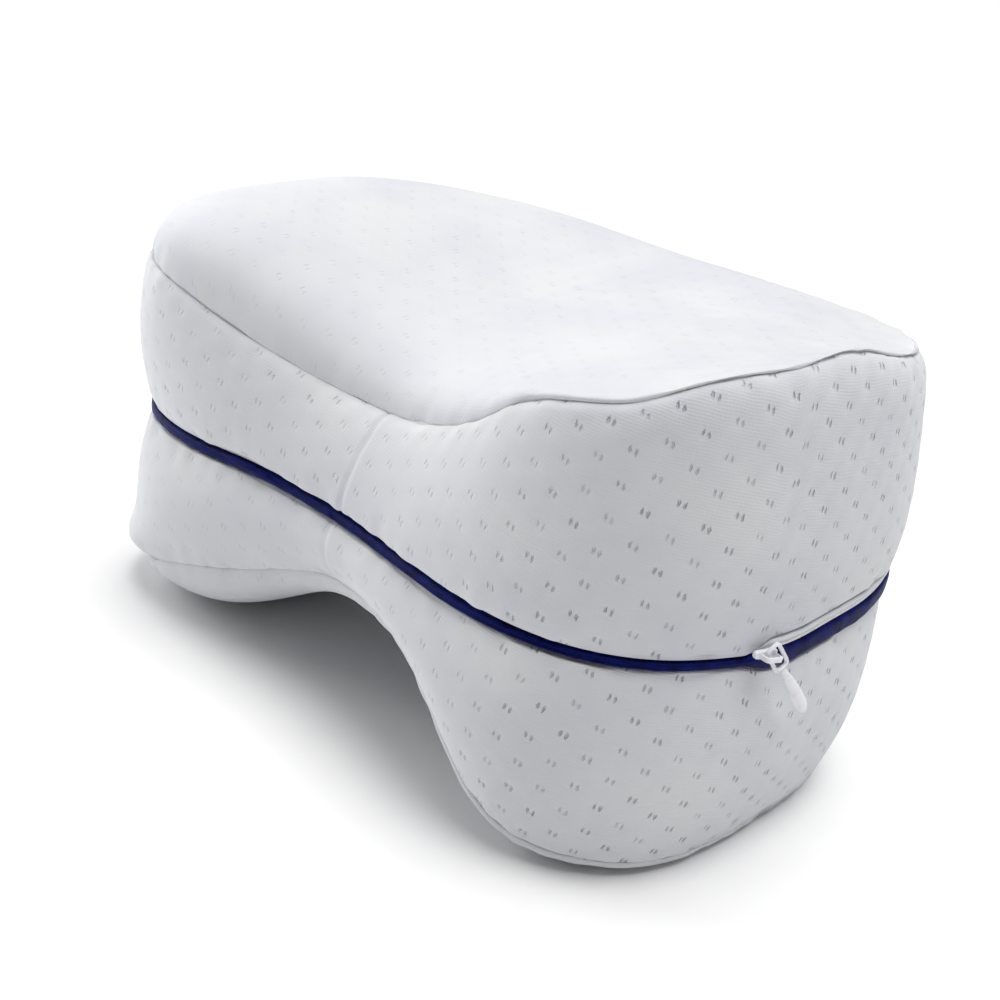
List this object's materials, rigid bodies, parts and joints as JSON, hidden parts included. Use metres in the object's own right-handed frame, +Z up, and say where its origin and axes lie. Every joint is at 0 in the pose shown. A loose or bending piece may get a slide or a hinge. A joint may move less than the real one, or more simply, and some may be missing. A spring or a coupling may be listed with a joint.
{
  "type": "knee pillow",
  "caption": "Contoured foam leg pillow in a white double-knit cover with blue piping and an end zip; an arch and a saddle hold the lower and the upper leg",
  "frame": {"origin": "at the table, under the middle of the object's bounding box", "axes": "+X to the end with the zip slider, -Y to the waisted front where the saddle is deepest, +Z up to the crown"},
  "size_m": [0.2694, 0.1784, 0.1518],
  "materials": {
    "cover": "soft white double-knit, figured with small paired dashes",
    "piping": "royal blue woven satin tape, folded lengthwise",
    "tape": "white woven zip tape over its coil",
    "zip_metal": "white lacquer, satin"
  },
  "bodies": {
    "root": {"cushion": "cover", "binding": "piping", "binding_lap": "piping", "zip_tape": "tape", "zip_hem": "cover", "zip_slider": "zip_metal", "zip_pull": "zip_metal"}
  },
  "joints": []
}
